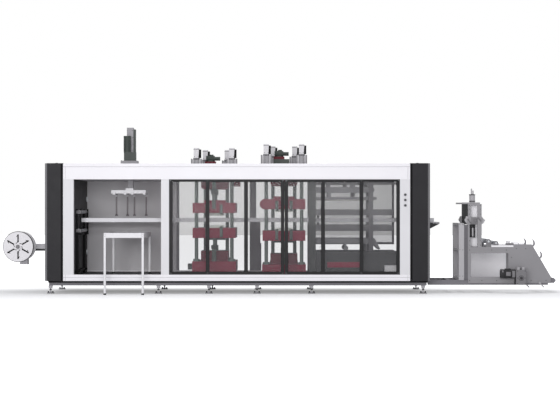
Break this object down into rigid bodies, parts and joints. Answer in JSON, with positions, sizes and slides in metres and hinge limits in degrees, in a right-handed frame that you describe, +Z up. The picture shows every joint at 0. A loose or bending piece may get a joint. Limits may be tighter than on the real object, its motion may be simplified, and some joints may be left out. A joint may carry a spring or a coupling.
{
  "type": "thermoforming machine",
  "caption": "In-line thermoforming machine: film unwinder, oven, column presses behind glass sliding doors, pick-off bay with table, and a waste reel.",
  "frame": {"origin": "on the floor, under the middle of the machine's bounding box", "axes": "+X along the machine towards the film unwinder, +Y towards the rear, +Z up"},
  "size_m": [11.222, 2.15, 3.38],
  "materials": {
    "dark_steel": "dark grey painted steel",
    "steel": "brushed stainless sheet",
    "black_paint": "satin black powder coat",
    "white_paint": "satin white powder coat",
    "grey_paint": "satin grey paint",
    "window": "clear safety glass with a slight grey tint",
    "button_plastic": "matt plastic",
    "aluminium_profile": "anodised profile",
    "red_paint": "dark red machine enamel",
    "ground_steel": "ground and plated steel",
    "motor_grey": "painted finned casting"
  },
  "bodies": {
    "machine": {"base_rails": "dark_steel", "levelling_feet": "steel", "unwinder_rails": "dark_steel", "left_end_cabinet": "black_paint", "right_end_cabinet": "black_paint", "top_fascias": "white_paint", "roof_deck": "grey_paint", "lifting_eyes": "steel", "bottom_rails": "white_paint", "front_stiles": "white_paint", "floor_deck": "black_paint", "rear_panel": "grey_paint", "rear_frame": "grey_paint", "rear_glass": "window", "door_tracks": "black_paint", "fixed_panel_frames": "black_paint", "fixed_panel_glass": "window", "push_buttons": "button_plastic", "chain_rails": "aluminium_profile", "partition_posts": "dark_steel", "press_bases": "red_paint", "press_columns": "ground_steel", "press_crowns": "red_paint", "press_pedestals": "red_paint", "column_heads": "grey_paint", "drive_beams": "red_paint", "drive_motors": "motor_grey", "oven_side_frames": "aluminium_profile", "oven_upper_heater": "steel", "oven_lower_heater": "steel", "oven_cabinet": "dark_steel", "air_manifold": "red_paint", "junction_box": "white_paint", "picker_tower": "aluminium_profile", "receiving_table": "aluminium_profile", "exit_stand": "black_paint", "exit_rollers": "ground_steel", "winder_arm": "grey_paint", "infeed_table": "grey_paint", "unwinder_plates": "grey_paint", "unwinder_portal": "aluminium_profile", "unwinder_covers": "white_paint", "unwinder_mast": "aluminium_profile", "unwinder_drive": "motor_grey", "roller_bearings": "black_paint"},
    "left_door": {"left_door_frame": "black_paint", "left_door_glass": "window"},
    "right_door": {"right_door_frame": "black_paint", "right_door_glass": "window"},
    "press_1_lower": {"press_1_lower_platen": "red_paint"},
    "press_1_upper": {"press_1_upper_platen": "red_paint"},
    "press_2_lower": {"press_2_lower_platen": "red_paint"},
    "press_2_upper": {"press_2_upper_platen": "red_paint"},
    "picker": {"picker_ram": "aluminium_profile"},
    "reel": {"waste_reel": "ground_steel"},
    "film_roller_near": {"film_roller_1": "ground_steel"},
    "film_roller_far": {"film_roller_2": "ground_steel"}
  },
  "joints": [
    {"name": "left_door_slide", "type": "slide", "parent": "machine", "child": "left_door", "axis": [-1, 0, 0], "range_m": [0, 0.73]},
    {"name": "right_door_slide", "type": "slide", "parent": "machine", "child": "right_door", "axis": [1, 0, 0], "range_m": [0, 0.73]},
    {"name": "press_1_upper_slide", "type": "slide", "parent": "machine", "child": "press_1_upper", "axis": [0, 0, -1], "range_m": [0, 0.085]},
    {"name": "press_1_lower_slide", "type": "slide", "parent": "machine", "child": "press_1_lower", "axis": [0, 0, 1], "range_m": [0, 0.105]},
    {"name": "press_2_upper_slide", "type": "slide", "parent": "machine", "child": "press_2_upper", "axis": [0, 0, -1], "range_m": [0, 0.155]},
    {"name": "press_2_lower_slide", "type": "slide", "parent": "machine", "child": "press_2_lower", "axis": [0, 0, 1], "range_m": [0, 0.165]},
    {"name": "picker_slide", "type": "slide", "parent": "machine", "child": "picker", "axis": [0, 0, -1], "range_m": [0, 0.32]},
    {"name": "reel_spin", "type": "hinge", "parent": "machine", "child": "reel", "pos_m": [-5.3, 0, 0.94], "axis": [0, 1, 0], "continuous": true},
    {"name": "film_roller_near_spin", "type": "hinge", "parent": "machine", "child": "film_roller_near", "pos_m": [4.238, 0, 1.046], "axis": [0, 1, 0], "continuous": true},
    {"name": "film_roller_far_spin", "type": "hinge", "parent": "machine", "child": "film_roller_far", "pos_m": [4.39, 0, 1.012], "axis": [0, 1, 0], "continuous": true}
  ]
}
